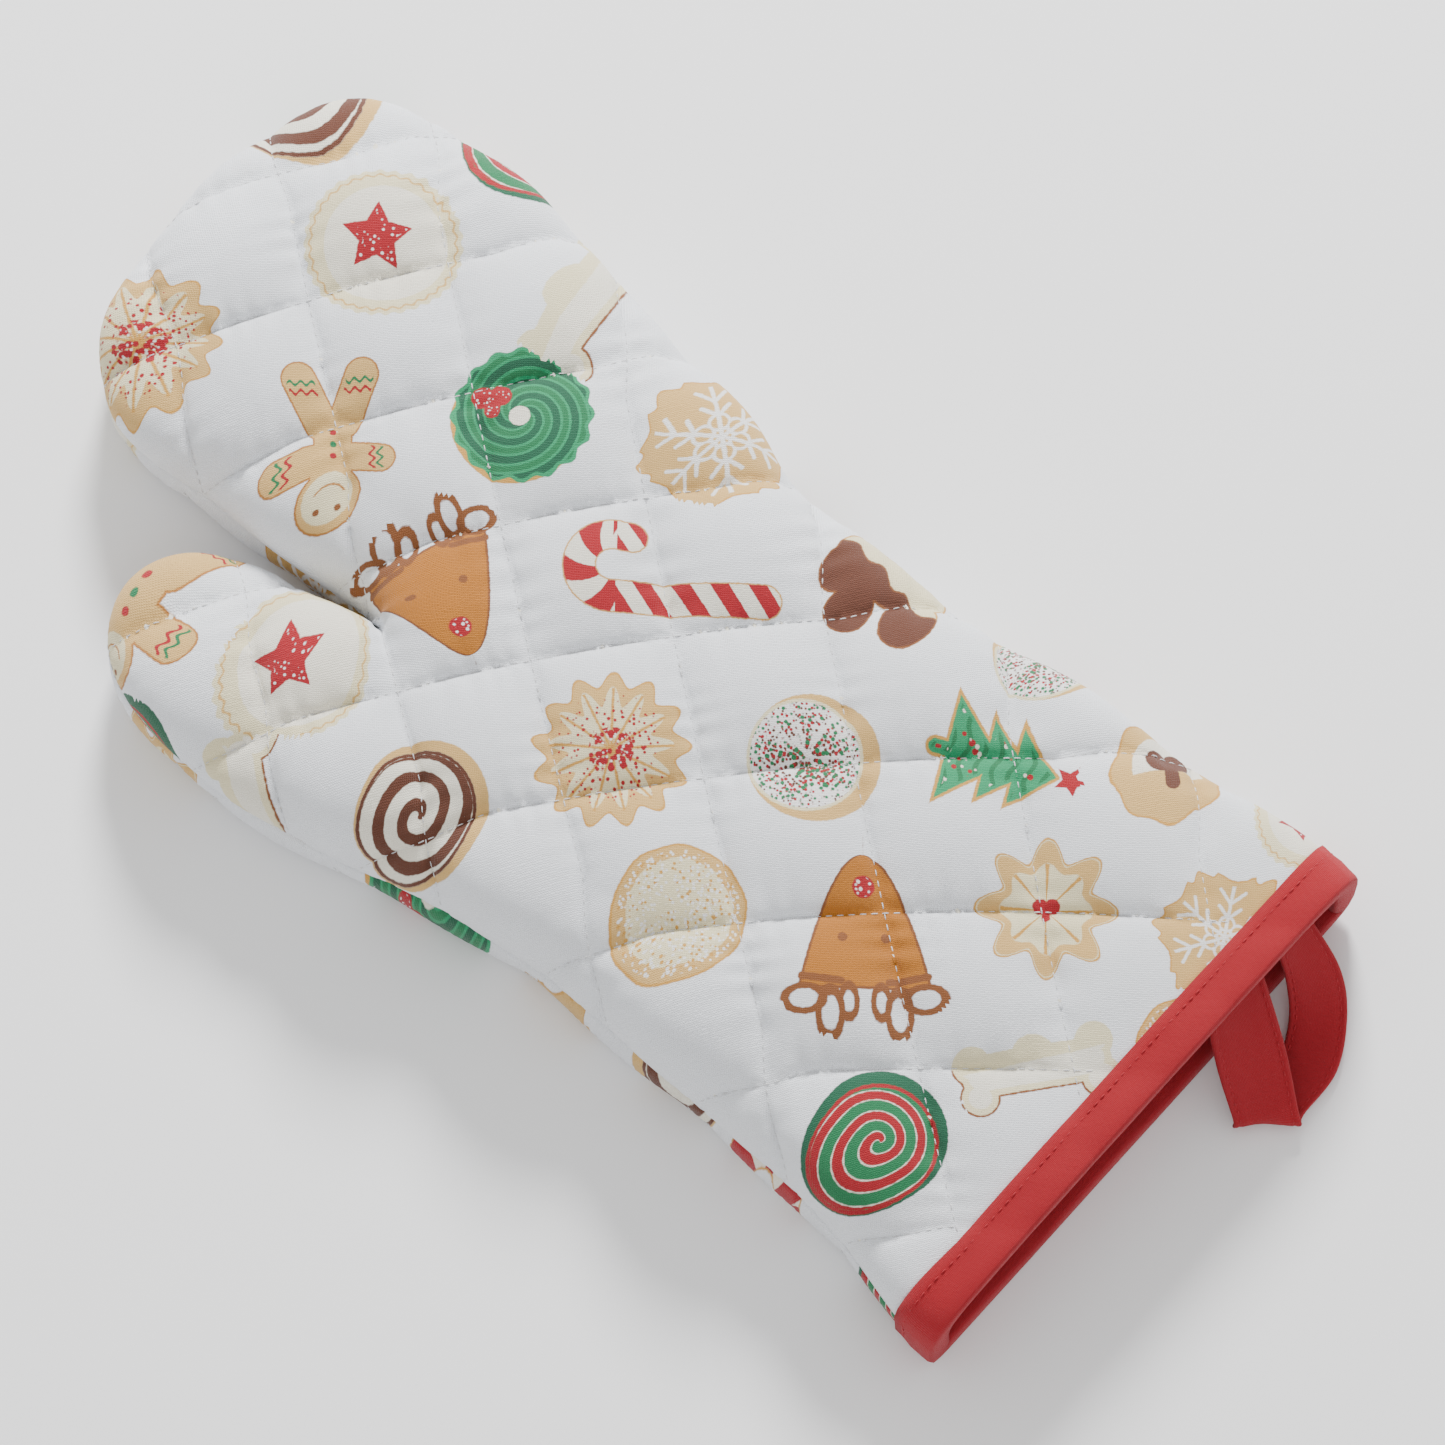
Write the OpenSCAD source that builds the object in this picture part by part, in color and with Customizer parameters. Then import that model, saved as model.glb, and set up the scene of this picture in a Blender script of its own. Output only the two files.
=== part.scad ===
// Quilted oven mitt, lying on its back panel with the thumb to the left.
// Millimetres. +Y runs from the cuff to the fingertips, +X away from the thumb, +Z up.
// The origin is on the flat underside, palm_y in from the cuff's raw edge.

/* [Hand] */
// Length from the cuff's raw edge to the fingertips
hand_len = 330; // [300:1:360]
// Distance from the cuff's raw edge to the origin
palm_y = 150; // [130:1:180]
// Length of the rounded end of the finger section
finger_round = 40; // [32:1:48]
// Length of the rounded end of the thumb
thumb_round = 25; // [20:1:30]
// Distance from the cuff's raw edge to the thumb's tip
thumb_len = 273; // [260:1:280]

/* [Thickness] */
// Height of the side seam above the surface that the mitt lies on
seam_z = 16; // [14:0.5:18]
// Printed cotton shell
shell_t = 1; // [0.8:0.1:1.4]
// Quilt batting at its full loft
batting_t = 4; // [3:0.1:5]
// Lining cloth
lining_t = 0.8; // [0.6:0.1:1.2]
// Gap left between neighbouring layers
layer_gap = 0.1; // [0.05:0.01:0.2]

/* [Cuff binding] */
// Width of the binding on each face of the cuff
binding_w = 10.5; // [8:0.5:14]
// Thickness of the folded binding tape
binding_t = 1.2; // [0.8:0.1:1.3]
// Length of one stitch in the binding and the loop
stitch_len = 2.7; // [2:0.1:4]
// Thickness of the sewing thread
thread_d = 0.4; // [0.3:0.05:0.6]

/* [Hanging loop] */
// Thickness of the folded loop tape
loop_t = 1.5; // [1:0.1:1.8]

/* [Hidden] */

wall_t = shell_t + batting_t + lining_t + 2 * layer_gap;
batting_in = shell_t + layer_gap;
lining_in = batting_in + batting_t + layer_gap;
past_cuff = 5;
huge = 600;
arc_steps = 14;
tip_steps = 5;
crown_power = 0.8;
base_fullness = 1.6;
tip_power = 2.2;

// Rows of the hand: distance from the cuff, left edge, right edge, crown height, base height
hand_rows = [
    [0, -80, 76, 32.5, 1.8],
    [14, -79, 77, 33, 1.8],
    [34, -74, 73.5, 35, 0],
    [64, -71.5, 69, 38, 0],
    [98, -71.5, 64.5, 41, 0],
    [130, -71, 60, 43, 0],
    [160, -68, 60, 43, 0],
    [188, -52, 65, 42, 0],
    [215, -35.5, 69, 41, 0],
    [243, -34.5, 73, 40.5, 0],
    [270, -35.5, 74.5, 40, 0],
    [hand_len - finger_round, -36.5, 74.5, 39, 0]
];

// Rows of the thumb, which starts inside the palm
thumb_rows = [
    [120, -66, -32, 33, 0],
    [150, -73.5, -28, 35, 0],
    [172, -78.5, -27, 36, 0],
    [190, -84, -28, 36, 0],
    [205, -87, -31, 35.5, 0],
    [220, -89.5, -35, 35, 0],
    [234, -89.5, -39, 34, 0],
    [thumb_len - thumb_round, -88, -40.5, 33, 0]
];

// Loop tape: the left and right edge of the tape at each station along it
loop_rows = [
    [[24, 2.5, 23.6], [44, 2.5, 21.4]],
    [[18.5, -6.5, 14.5], [35, -13.5, 13]],
    [[14.5, -15, 5.5], [26, -26.5, 5.3]],
    [[13.5, -16.5, 3.7], [25, -28.5, 3.7]],
    [[15.5, -15.5, 1.9], [27.5, -27, 1.9]],
    [[32.5, -13.5, 1.9], [41, -26, 1.9]],
    [[42, -9.5, 4.5], [53, -19, 3.5]],
    [[47.5, -3.5, 12], [59.5, -10.5, 10]],
    [[50, 2.5, 20.9], [62, 2.5, 19.6]]
];

function on_row(r, y) = [y, r[1], r[2], r[3], r[4]];

// The rounded end beyond a last row, pulled in by inset
function tip_rows(r, reach, inset) = [
    for (i = [1 : tip_steps])
        let (t = sin(90 * i / (tip_steps + 0.25)), k = pow(1 - pow(t, tip_power), 1 / tip_power),
             mid = (r[1] + r[2]) / 2, half = (r[2] - r[1]) / 2 - inset,
             rise = (r[3] - seam_z - inset) * pow(k, 0.6),
             drop = (seam_z - r[4] - inset) * min(1, 1.3 * pow(k, 0.6)))
        [r[0] + (reach - inset) * t, mid - half * k, mid + half * k,
         seam_z + rise, seam_z - drop]
];

function inset_row(r, inset) = [r[0], r[1] + inset, r[2] - inset, r[3] - inset, r[4] + inset];

// One cross-section as a ring of points. side is 1 for the front half, -1 for the back, 0 for both
function ring(r, side) =
    let (mid = (r[1] + r[2]) / 2, half = (r[2] - r[1]) / 2, cut = seam_z + side * layer_gap / 2,
         top = [for (i = [0 : arc_steps]) let (a = 180 * i / arc_steps)
                [mid + half * cos(a), r[0],
                 max(cut, seam_z + (r[3] - seam_z) * pow(max(0, sin(a)), crown_power))]],
         base = [for (i = [0 : arc_steps]) let (a = 180 + 180 * i / arc_steps)
                 [mid + half * cos(a), r[0],
                  min(cut, seam_z - (seam_z - r[4]) * min(1, base_fullness * max(0, -sin(a))))]])
    side == 1 ? top : side == -1 ? base : concat(top, [for (i = [1 : arc_steps - 1]) base[i]]);

// The space between two cross-sections
module between(a, b) {
    n = len(a);
    hull() polyhedron(
        points = concat(a, b),
        faces = concat([[for (i = [0 : n - 1]) i], [for (i = [0 : n - 1]) 2 * n - 1 - i]],
                       [for (i = [0 : n - 1]) [(i + 1) % n, i, n + i, n + (i + 1) % n]]));
}

module loft(rows, side) {
    for (i = [0 : len(rows) - 2]) between(ring(rows[i], side), ring(rows[i + 1], side));
}

// The mitt's whole outer form drawn in by inset, from y = start to the tips
module mitt_form(inset, side, start) {
    body = [for (i = [0 : len(hand_rows) - 1])
            inset_row(i == 0 ? on_row(hand_rows[0], start) : hand_rows[i], inset)];
    thumb = [for (r = thumb_rows) inset_row(r, inset)];
    last_hand = hand_rows[len(hand_rows) - 1];
    last_thumb = thumb_rows[len(thumb_rows) - 1];
    loft(concat(body, tip_rows(last_hand, finger_round, inset)), side);
    loft(concat(thumb, tip_rows(last_thumb, thumb_round, inset)), side);
}

// One layer of one half, from inset depth to depth + thickness
module layer(depth, thickness, side) {
    difference() {
        mitt_form(depth, side, 0);
        mitt_form(depth + thickness, 0, -past_cuff);
    }
}

module placed() {
    translate([0, -palm_y, 0]) children();
}

module front_shell() {
    color("white") placed() layer(0, shell_t, 1);
}

module back_shell() {
    color("white") placed() layer(0, shell_t, -1);
}

module front_batting() {
    color("ivory") placed() layer(batting_in, batting_t, 1);
}

module back_batting() {
    color("ivory") placed() layer(batting_in, batting_t, -1);
}

module front_lining() {
    color("whitesmoke") placed() layer(lining_in, lining_t, 1);
}

module back_lining() {
    color("whitesmoke") placed() layer(lining_in, lining_t, -1);
}

// Tape folded over the raw edge of all the layers, all the way round the cuff
module cuff_binding() {
    color("crimson") placed() intersection() {
        difference() {
            mitt_form(-binding_t, 0, -binding_t);
            mitt_form(wall_t + binding_t, 0, -past_cuff);
            difference() {
                mitt_form(-layer_gap, 0, -layer_gap);
                mitt_form(wall_t + layer_gap, 0, -past_cuff);
            }
        }
        translate([-huge / 2, -huge + binding_w, -huge / 2]) cube(huge);
    }
}

// One stitch lying from a to b
module stitch(a, b) {
    hull() for (p = [a, b]) translate(p) cube(thread_d, center = true);
}

// A run of stitches from a to b, each with a short gap after it
module stitch_run(a, b) {
    n = max(1, round(norm(b - a) / stitch_len));
    for (k = [0 : n - 1]) stitch(a + (b - a) * (k + 0.2) / n, a + (b - a) * (k + 0.8) / n);
}

// Rows of stitches through both faces of the binding, near its fabric-side edge
module binding_thread() {
    stitch_y = binding_w - stitch_len;
    share = stitch_y / hand_rows[1][0];
    row = hand_rows[0] + (hand_rows[1] - hand_rows[0]) * share;
    lift = binding_t + thread_d + layer_gap;
    points = ring(inset_row(row, -lift), 0);
    color("firebrick") placed()
        for (i = [0 : len(points) - 1]) stitch_run(points[i], points[(i + 1) % len(points)]);
}

module loop_rod(row) {
    hull() for (p = row) translate(p) sphere(d = loop_t, $fn = 8);
}

// A folded tape that leaves the inside of the cuff, turns under itself and comes back
module hanging_loop() {
    color("red") placed() for (i = [0 : len(loop_rows) - 2]) hull() {
        loop_rod(loop_rows[i]);
        loop_rod(loop_rows[i + 1]);
    }
}

// Stitches that close the folded tape, along the left edge of its outer face, clear of the cuff
module loop_thread() {
    side_share = 0.06;
    color("firebrick") placed() for (i = [1 : len(loop_rows) - 3]) {
        a = loop_rows[i];
        b = loop_rows[i + 1];
        across = a[1] - a[0];
        out = cross(across, b[0] - a[0]);
        lift = out / norm(out) * (loop_t / 2 + 1.5 * thread_d + layer_gap);
        stitch_run(a[0] + across * side_share - lift,
                   b[0] + (b[1] - b[0]) * side_share - lift);
    }
}

front_shell();
back_shell();
front_batting();
back_batting();
front_lining();
back_lining();
cuff_binding();
binding_thread();
hanging_loop();
loop_thread();
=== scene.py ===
from math import cos, pi, radians, sin

import bpy
import numpy as np
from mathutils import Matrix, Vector, geometry
from mathutils.bvhtree import BVHTree


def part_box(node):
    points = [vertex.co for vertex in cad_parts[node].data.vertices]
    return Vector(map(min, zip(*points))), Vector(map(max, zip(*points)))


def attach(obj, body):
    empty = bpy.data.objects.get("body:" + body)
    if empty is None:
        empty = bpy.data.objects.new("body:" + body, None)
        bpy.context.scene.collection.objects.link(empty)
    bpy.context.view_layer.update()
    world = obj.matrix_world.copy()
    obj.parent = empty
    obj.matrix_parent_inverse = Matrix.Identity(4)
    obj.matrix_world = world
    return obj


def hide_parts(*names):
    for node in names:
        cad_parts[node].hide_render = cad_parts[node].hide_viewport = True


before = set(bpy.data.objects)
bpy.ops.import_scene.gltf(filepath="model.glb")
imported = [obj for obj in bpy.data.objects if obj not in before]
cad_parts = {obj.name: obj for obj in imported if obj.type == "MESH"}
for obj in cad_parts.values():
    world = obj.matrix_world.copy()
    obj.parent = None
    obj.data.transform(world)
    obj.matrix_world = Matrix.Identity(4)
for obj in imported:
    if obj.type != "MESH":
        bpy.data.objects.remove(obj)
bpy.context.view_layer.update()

mm = 0.001
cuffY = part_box("front_shell")[0][1]      # raw edge of the cuff, where the mitt's own y is 0


view = {"azimuth": radians(-48.4), "elevation": radians(72), "distance": 2.2,
        "aim": (0.0052, -0.008, 0.016), "span": 0.3535}


def addCamera():
    a, e = view["azimuth"], view["elevation"]
    back = Vector((sin(a) * cos(e), -cos(a) * cos(e), sin(e)))
    data = bpy.data.cameras.new("camera")
    data.sensor_width = 36
    data.lens = 36 * view["distance"] / view["span"]
    camera = bpy.data.objects.new("camera", data)
    camera.location = Vector(view["aim"]) + back * view["distance"]
    camera.rotation_euler = back.to_track_quat("Z", "Y").to_euler()
    bpy.context.scene.collection.objects.link(camera)
    bpy.context.scene.camera = camera


def addLight(name, place, size, power):
    data = bpy.data.lights.new(name, "AREA")
    data.shape, data.size, data.energy = "DISK", size, power
    lamp = bpy.data.objects.new(name, data)
    lamp.location = place
    lamp.rotation_euler = Vector(place).to_track_quat("Z", "Y").to_euler()
    bpy.context.scene.collection.objects.link(lamp)


def addStudio():
    world = bpy.data.worlds.new("studio")
    bpy.context.scene.world = world
    world.use_nodes = True
    world.node_tree.nodes["Background"].inputs[0].default_value = (1, 1, 1, 1)
    world.node_tree.nodes["Background"].inputs[1].default_value = 0.95
    addLight("keyLight", (1.35, 1.05, 1.05), 0.5, 84)
    addLight("fillLight", (-1.0, -1.1, 1.7), 1.4, 6)
    bpy.ops.object.select_all(action="DESELECT")
    bpy.ops.mesh.primitive_plane_add(size=6, location=(0, 0, -0.0004))
    floor = bpy.context.object
    floor.name = "floor"
    paper = bpy.data.materials.new("paleFloor")
    paper.use_nodes = True
    shader = paper.node_tree.nodes["Principled BSDF"]
    shader.inputs["Base Color"].default_value = (0.92, 0.92, 0.925, 1)
    shader.inputs["Roughness"].default_value = 0.75
    floor.data.materials.append(paper)


addCamera()
addStudio()
print("camera and studio ready")


def smoothStep(low, high, x):
    t = np.clip((x - low) / (high - low), 0, 1)
    return t * t * (3 - 2 * t)


# points are in the mitt's own millimetres
def meshPiece(name, points, faces, material=None):
    data = bpy.data.meshes.new(name)
    placed = np.asarray(points, float) * mm
    placed[:, 1] += cuffY
    data.from_pydata(placed.tolist(), [], [list(map(int, f)) for f in faces])
    data.polygons.foreach_set("use_smooth", [True] * len(data.polygons))
    data.update()
    piece = bpy.data.objects.new(name, data)
    bpy.context.scene.collection.objects.link(piece)
    if material:
        data.materials.append(material)
    return piece


# A value in a material's node tree that takes part in ordinary sums
class Value:
    def __init__(self, tree, socket):
        self.tree, self.socket = tree, socket

    def maths(self, operation, *others, clamp=False):
        node = self.tree.nodes.new("ShaderNodeMath")
        node.operation, node.use_clamp = operation, clamp
        for at, item in enumerate((self, *others)):
            if isinstance(item, Value):
                self.tree.links.new(item.socket, node.inputs[at])
            else:
                node.inputs[at].default_value = item
        return Value(self.tree, node.outputs[0])

    def __rsub__(self, other):
        return self.maths("MULTIPLY", -1) + other

    def __neg__(self):
        return self.maths("MULTIPLY", -1)


for method, operation in {"__add__": "ADD", "__radd__": "ADD", "__sub__": "SUBTRACT", "__mul__": "MULTIPLY",
                          "__rmul__": "MULTIPLY", "__truediv__": "DIVIDE", "least": "MINIMUM",
                          "most": "MAXIMUM", "size": "ABSOLUTE", "sine": "SINE", "cosine": "COSINE",
                          "root": "SQRT", "above": "GREATER_THAN"}.items():
    setattr(Value, method, lambda self, *others, operation=operation: self.maths(operation, *others))


def length(x, y):
    return (x * x + y * y).root()


# 1 inside a printed shape, 0 outside, soft over a thread's width
def ink(distance, soft=0.28):
    return (0.5 - distance * (1 / soft)).maths("ADD", 0, clamp=True)


def disc(x, y, cx, cy, r):
    return length(x - cx, y - cy) - r


def oval(x, y, cx, cy, rx, ry):
    return (length((x - cx) / rx, (y - cy) / ry) - 1) * min(rx, ry)


# a line from a to b with round ends of radius r
def bar(x, y, ax, ay, bx, by, r):
    dx, dy = bx - ax, by - ay
    reach = dx * dx + dy * dy
    along = ((x - ax) * (dx / reach) + (y - ay) * (dy / reach)).maths("ADD", 0, clamp=True)
    return length(x - ax - along * dx, y - ay - along * dy) - r


def angleOf(x, y):
    return y.maths("ARCTAN2", x)


def petals(x, y, cx, cy, r, depth, count, turn=0.0):
    px, py = x - cx, y - cy
    return length(px, py) - ((angleOf(px, py) * count + turn).cosine() * depth + 1) * r


# a pointed star with straight sides
def star(x, y, cx, cy, r, inner=0.5, points=5, turn=0.0):
    px, py = x - cx, y - cy
    step = 2 * pi / points
    fold = (angleOf(px, py) + (step * 4 + turn)).maths("MODULO", step) - step / 2
    slope = fold.size()
    side = slope.sine() * r + (step / 2 - slope).sine() * (inner * r)
    return (length(px, py) - side.maths("POWER", -1) * (r * inner * r * sin(step / 2))) * 0.7


def ring(distance, width):
    return distance.size() - width / 2


def both(*parts):
    whole = parts[0]
    for part in parts[1:]:
        whole = whole.most(part)
    return whole


def either(*parts):
    whole = parts[0]
    for part in parts[1:]:
        whole = whole.least(part)
    return whole


# colours, as linear red, green and blue
paint = {"cloth": (0.83, 0.85, 0.885), "cream": (0.78, 0.70, 0.45), "tan": (0.66, 0.41, 0.14),
         "golden": (0.60, 0.31, 0.06), "brown": (0.22, 0.07, 0.015), "outline": (0.42, 0.17, 0.03),
         "hide": (0.44, 0.15, 0.009), "chocolate": (0.11, 0.030, 0.012), "red": (0.36, 0.002, 0.010),
         "green": (0.006, 0.17, 0.058), "darkGreen": (0.006, 0.10, 0.045), "mint": (0.012, 0.29, 0.115),
         "white": (0.86, 0.85, 0.83), "icing": (0.84, 0.80, 0.68)}


# Small grains strewn over a picture; share is how much of each grain's own patch it fills
def speckle(dots, size, share):
    return (dots(size) - share) * size * 1.6


# Each picture is a list of (shape, colour), painted in order. x is to the right, y up, in mm
def starCookie(x, y, dots):
    point = star(x, y, -1.2, 1.5, 8.6, 0.52, turn=0.5)
    return [(petals(x, y, 0, 0, 18.6, 0.018, 34), "cream"),
            (ring(petals(x, y, 0, 0, 17.2, 0.02, 34), 0.5), "tan"),
            (disc(x, y, 0.6, -0.4, 14.5), "icing"),
            (point, "red"), (both(point + 0.8, speckle(dots, 1.25, 0.28)), "white")]


def sprinkleDaisy(x, y, dots):
    away = length(x, y)
    creases = both((angleOf(x, y) * 6.5).sine().size() * away * 0.15 - 0.3, away - 14)
    return [(petals(x, y, 0, 0, 16.2, 0.11, 13), "golden"), (petals(x, y, 0, 0, 15.6, 0.11, 13), "tan"),
            (petals(x, y, 0.3, 0.3, 11.6, 0.2, 13), "cream"), (creases, "golden"),
            (both(away - 13, speckle(dots, 1.3, 0.46) + away * 0.045), "red"),
            (both(away - 5, speckle(dots, 1.6, 0.52)), "red"),
            (both(away - 4.4, speckle(dots, 1.0, 0.26)), "white")]


def gingerbread(x, y, dots):
    sx = x.size()
    body = either(disc(x, y, 0, 15, 7.6), bar(x, y, 0, 8, 0, -4, 5.6),
                  bar(sx, y, 2, 4.5, 13.5, 6.8, 4.3), bar(sx, y, 3, -5, 8.8, -18, 5.0))
    wave = (y * 2.1).sine() * 0.7
    sleeve = either(both(ring(x.size() - 11 - wave, 0.9), (y - 6.3).size() - 3.4),
                    both(ring(y + 14 - (x * 2.1).sine() * 0.6, 0.9), (sx - 7.5).size() - 3.9))
    hem = either(both(ring(x.size() - 13.2 - wave, 0.9), (y - 6.6).size() - 3.2),
                 both(ring(y + 16.6 - (x * 2.1).sine() * 0.6, 0.9), (sx - 8.2).size() - 3.9))
    smile = both(ring(disc(x, y, 0, 15.6, 3.8), 0.45), y - 13.6)
    return [(body, "outline"), (body + 0.55, "tan"), (disc(x, y, 0.4, 14.6, 5.6), "cream"),
            (both(body + 0.8, sleeve), "red"), (both(body + 0.8, hem), "green"),
            (either(disc(x, y, 0, 4.6, 0.9), disc(x, y, 0, -2.6, 0.9)), "red"),
            (disc(x, y, 0, 1.0, 0.9), "green"), (smile, "outline"),
            (disc(sx, y, 2.4, 17.2, 0.75), "brown")]


def wreath(x, y, dots):
    swirl = (angleOf(x, y) * 3 + length(x, y) * 1.35).sine()
    leaf = petals(x, y, 0, 0, 17.2, 0.035, 16)
    heart = either(disc(x, y, -5.4, 5.6, 2.9), disc(x, y, -9.6, 5.4, 2.9),
                   bar(x, y, -7.4, 3.8, -7.4, 1.6, 2.0))
    return [(disc(x, y, -1.2, -1.4, 16.4), "golden"), (leaf, "mint"),
            (both(leaf + 1.0, swirl * 1.2 + 0.35), "darkGreen"),
            (both(leaf + 1.0, 0.55 - swirl), "green"), (disc(x, y, -0.6, -0.4, 2.6), "icing"),
            (heart, "red"), (both(heart + 0.6, speckle(dots, 1.1, 0.24)), "white")]


def boneCookie(x, y, dots):
    form = either(bar(x, y, -13, 2, 13, 1, 5.4), disc(x, y, -15, 5, 4.8), disc(x, y, -15, -3, 4.6),
                  disc(x, y, 15, 5, 4.6), disc(x, y, 15, -4, 5.0), disc(x, y, 0, 4, 5.6))
    return [(form, "cream"), (both(ring(form, 0.55), y + x * 0.2 - 1.5), "brown"),
            (both(form + 1.8, y - 3.5), "icing")]


def snowflake(x, y, dots):
    form = petals(x, y, 0, 0, 17.0, 0.11, 6).most(petals(x, y, 0, 0, 17.6, 0.07, 18))
    fold = (angleOf(x, y) + 4 * pi).maths("MODULO", pi / 3) - pi / 6
    away = length(x, y)
    px, py = away * fold.cosine(), (away * fold.sine()).size()
    arms = either(both(py - 0.42, px - 13.6), bar(px, py, 5.2, 0, 8.0, 2.8, 0.42),
                  bar(px, py, 9.0, 0, 12.4, 3.2, 0.42), ring(length(px - 3.6, py) - 1.9, 0.7))
    return [(form, "golden"), (form + 0.5, "tan"), (arms, "white")]


def deer(x, y, dots):
    sx = x.size()
    head = both(sx - (y + 20.5).most(0.0).root() * 2.75, y - 11.5, length(x, y + 6) - 22.5)
    antler = either(ring(oval(sx, y, 8.0, 17.0, 2.7, 5.4), 1.5),
                    ring(oval(sx, y, 14.0, 13.6, 4.4, 2.9), 1.5),
                    ring(oval(sx, y, 3.8, 14.4, 1.9, 3.6), 1.3), bar(sx, y, 5.6, 9.6, 14.5, 8.4, 0.9))
    nose = disc(x, y, 0, -13.0, 2.6)
    return [(head, "brown"), (head + 0.7, "hide"), (antler, "brown"),
            (disc(sx, y, 5.0, -1.0, 1.15), "brown"), (nose, "red"),
            (both(nose + 0.4, speckle(dots, 1.3, 0.34)), "white")]


def candyCane(x, y, dots):
    x, y = 0 - x - 12, y - 11
    hook = both(ring(disc(x, y, -15.5, 3.5, 8.0), 8.4), -(y - 2.5))
    rod = bar(x, y, -7.5, 2, -7.5, -34, 4.2)
    tail = bar(x, y, -23.5, 3, -23.0, -1, 4.2)
    form = either(hook, rod, tail)
    bend = (y - 2.5).above(0)
    slant = (angleOf(x + 15.5, y - 3.5) * 8.0 - length(x + 15.5, y - 3.5) * 0.4) * bend \
        + (y * 1.0 + x * 0.7) * (1 - bend)
    stripe = (slant * (2 * pi / 9.4)).sine() * 1.6
    return [(form, "golden"), (form + 0.4, "icing"), (both(form + 0.3, stripe), "red")]


def dippedCookie(x, y, dots):
    form = either(disc(x, y, -9, 4, 6.2), disc(x, y, 9, 6, 5.2), bar(x, y, -10, 0, 10, 2, 6.0),
                  disc(x, y, 10, -6, 6.4), disc(x, y, -4, -8, 5.6))
    dip = both(form, (y + x * 0.35 - 1.0) + (x * 0.7).sine() * 0.8)
    return [(form, "golden"), (form + 0.5, "cream"), (dip, "brown"), (dip + 0.4, "chocolate")]


def nonpareils(x, y, dots):
    face, away = disc(x, y, 0, 0, 13.4), length(x, y) * 0.03
    return [(disc(x, y, 2.2, -0.6, 16.2), "tan"), (disc(x, y, 0, 0, 14.2), "cream"), (face, "white"),
            (both(face, speckle(dots, 1.05, 0.5) + away), "chocolate"),
            (both(face, speckle(dots, 1.3, 0.46) + away), "red"),
            (both(face, speckle(dots, 1.55, 0.44) + away), "green")]


def spiral(x, y, dots, rim, ground, line, turns=1.15):
    turn = (length(x, y) * turns - angleOf(x, y)).sine()
    face = disc(x, y, 0, 0, 12.6)
    return [(disc(x, y, 1.2, -0.8, 15.2), rim), (disc(x, y, 0, 0, 13.4), ground),
            (both(face, 0.12 - turn), line), (ring(face - 0.4, 0.9), line)]


def chocolateSwirl(x, y, dots):
    return spiral(x, y, dots, "tan", "icing", "chocolate")


def redGreenSwirl(x, y, dots):
    layers = spiral(x, y, dots, "darkGreen", "green", "red", 1.3)
    turn = (length(x, y) * 1.3 - angleOf(x, y)).sine()
    return layers + [(both(disc(x, y, 0, 0, 12.6), ring(turn - 0.12, 0.3)), "icing")]


def sugarRound(x, y, dots):
    form = petals(x, y, 0, 0, 16.2, 0.012, 9)
    return [(form, "golden"), (form + 0.6, "tan"), (form + 3.4, "cream"),
            (both(form + 1.5, speckle(dots, 1.5, 0.28)), "golden"),
            (both(form + 1.5, speckle(dots, 1.1, 0.34)), "white")]


def treeCookie(x, y, dots):
    sx = x.size()
    tiers = [both(both((sx - (top - y) * 0.95) * 0.72, base - y), y - top)
             for top, base in ((14, 3.5), (7.5, -4), (0.5, -14))]
    form = either(*tiers, bar(x, y, 0, -14, 0, -17, 1.6))
    garland = (y * 1.5 + (x * 0.6).sine() * 1.2).sine()
    return [(form - 0.8, "golden"), (form, "mint"), (both(form + 0.8, garland + 0.55), "green"),
            (both(form + 1.2, speckle(dots, 3.4, 0.24)), "red"),
            (both(form + 1.2, speckle(dots, 2.8, 0.2)), "icing"),
            (star(x, y, 0, 17.6, 4.4, 0.5, turn=0.3), "red")]


def flowerCookie(x, y, dots):
    form = petals(x, y, 0, 0, 13.2, 0.19, 8)
    heart = either(disc(x, y, -1.3, 0.8, 1.7), disc(x, y, 1.3, 0.8, 1.7), bar(x, y, 0, 0, 0, -1.6, 0.9))
    veins = both((angleOf(x, y) * 4).sine().size() * 2.6 - 0.45, length(x, y) - 10)
    return [(form, "golden"), (form + 0.5, "cream"),
            (both(form + 0.8, 0 - petals(x, y, 0, 0, 9.2, 0.1, 8)), "tan"),
            (both(veins, form + 2), "golden"), (heart, "red")]


def thumbprint(x, y, dots):
    cap = both(disc(x, y, 0, 0, 9.0), -(y + 1.5))
    tip = either(disc(x, y, -2.4, 1.8, 3.4), disc(x, y, 2.4, 1.8, 3.4), bar(x, y, 0, 0, 0, -4.6, 1.8))
    return [(petals(x, y, 0, 0, 13.4, 0.05, 8), "golden"), (petals(x, y, 0, 0, 12.8, 0.05, 8), "tan"),
            (cap, "icing"), (tip, "chocolate")]


pictures = {"starCookie": starCookie, "sprinkleDaisy": sprinkleDaisy, "gingerbread": gingerbread,
            "wreath": wreath, "boneCookie": boneCookie, "snowflake": snowflake, "deer": deer,
            "candyCane": candyCane, "dippedCookie": dippedCookie, "nonpareils": nonpareils,
            "chocolateSwirl": chocolateSwirl, "redGreenSwirl": redGreenSwirl, "sugarRound": sugarRound,
            "treeCookie": treeCookie, "flowerCookie": flowerCookie, "thumbprint": thumbprint}


def mixColour(tree, share, below, above):
    node = tree.nodes.new("ShaderNodeMix")
    node.data_type = "RGBA"
    tree.links.new(share.socket, node.inputs["Factor"])
    for name, colour in (("A", below), ("B", above)):
        socket = next(s for s in node.inputs if s.name == name and s.type == "RGBA")
        if isinstance(colour, tuple):
            socket.default_value = (*colour, 1)
        else:
            tree.links.new(colour, socket)
    return next(s for s in node.outputs if s.type == "RGBA")


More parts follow.
